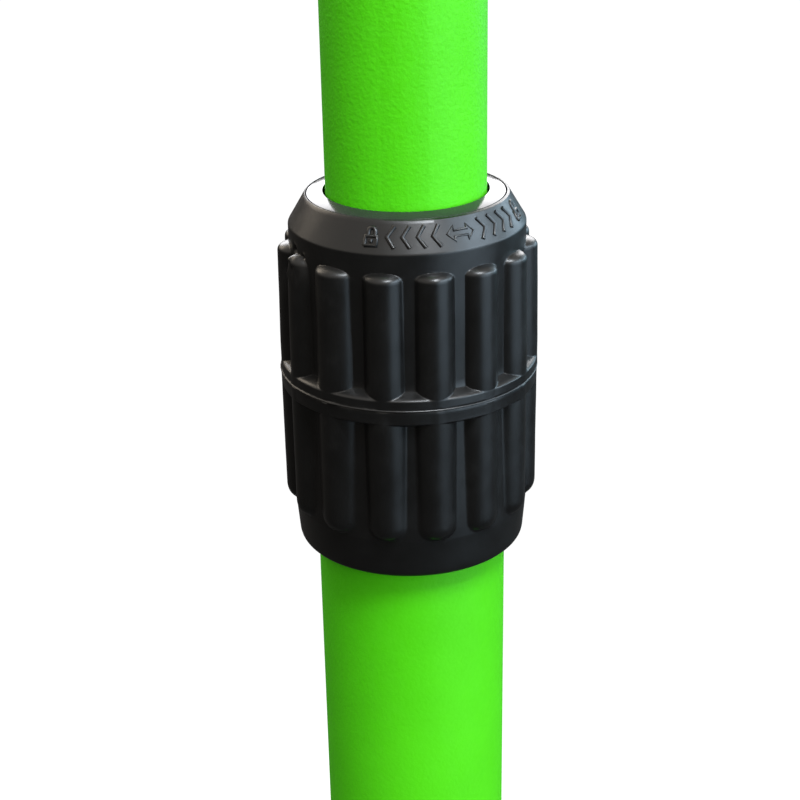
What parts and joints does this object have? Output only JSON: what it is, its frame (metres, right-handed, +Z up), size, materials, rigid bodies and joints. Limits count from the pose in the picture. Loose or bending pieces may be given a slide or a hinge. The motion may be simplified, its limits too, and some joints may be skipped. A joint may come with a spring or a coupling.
{
  "type": "stop slow paddle",
  "caption": "Hand-held traffic paddle: octagonal two-sided sign on a telescoping round staff, with a ribbed twist-lock collar and a rubber foot.",
  "frame": {"origin": "centre of the foot's underside, on the staff's axis", "axes": "+Z up along the staff; the stop face looks towards -Y and the slow face towards +Y; +X is to the right for someone reading the stop face"},
  "size_m": [0.457, 0.0582, 1.707],
  "materials": {
    "lime_coat": "fluorescent lime powder coat with a fine orange-peel texture",
    "foot_rubber": "matt black moulded rubber",
    "zinc_steel": "bright zinc plated",
    "collar_black": "satin black moulded nylon with a faint grain",
    "ring_black": "polished black plastic",
    "natural_nylon": "natural nylon",
    "grey_nylon": "dark grey acetal",
    "drag_rubber": "matt black rubber",
    "cap_black": "satin black plastic",
    "panel_aluminium": "milled sheet with a deburred edge",
    "red_sheeting": "prismatic retroreflective sheeting, red",
    "white_film": "prismatic retroreflective sheeting, white",
    "orange_sheeting": "prismatic retroreflective sheeting, fluorescent orange",
    "black_film": "black vinyl film"
  },
  "bodies": {
    "lower_staff": {"lower_tube": "lime_coat", "rubber_foot": "foot_rubber", "foot_washer": "zinc_steel", "lock_body": "collar_black"},
    "glide": {"guide_bush": "grey_nylon", "drag_ring": "drag_rubber"},
    "upper_staff": {"upper_tube": "lime_coat", "stop_ring": "zinc_steel", "tube_end_plug": "natural_nylon", "half_caps": "cap_black", "crush_sleeves": "zinc_steel", "saddle_pads": "cap_black", "flat_washers": "zinc_steel", "panel_bolts": "zinc_steel", "panel_nuts": "zinc_steel", "sign_panel": "panel_aluminium", "stop_sheeting": "red_sheeting", "stop_legend": "white_film", "stop_border": "white_film", "slow_sheeting": "orange_sheeting", "slow_legend": "black_film", "slow_border": "black_film"},
    "collet_set": {"collet": "natural_nylon", "thrust_washer": "zinc_steel"},
    "nut_set": {"lock_nut": "collar_black", "wiper_ring": "ring_black"}
  },
  "joints": [
    {"name": "glide_slide", "type": "slide", "parent": "lower_staff", "child": "glide", "axis": [0, 0, 1], "range_m": [-0.12, 0.7]},
    {"name": "staff_turn", "type": "hinge", "parent": "glide", "child": "upper_staff", "pos_m": [0, 0, 0.33], "axis": [0, 0, 1], "continuous": true},
    {"name": "collet_rise", "type": "slide", "parent": "lower_staff", "child": "collet_set", "axis": [0, 0, 1], "range_m": [0, 0.002]},
    {"name": "collar_turn", "type": "hinge", "parent": "collet_set", "child": "nut_set", "pos_m": [0, 0, 1.08], "axis": [0, 0, 1], "range_deg": [0, 120]}
  ],
  "couplings": [
    {"joint": "collet_rise", "follows": "collar_turn", "m_per_rad": 0.00095493}
  ]
}
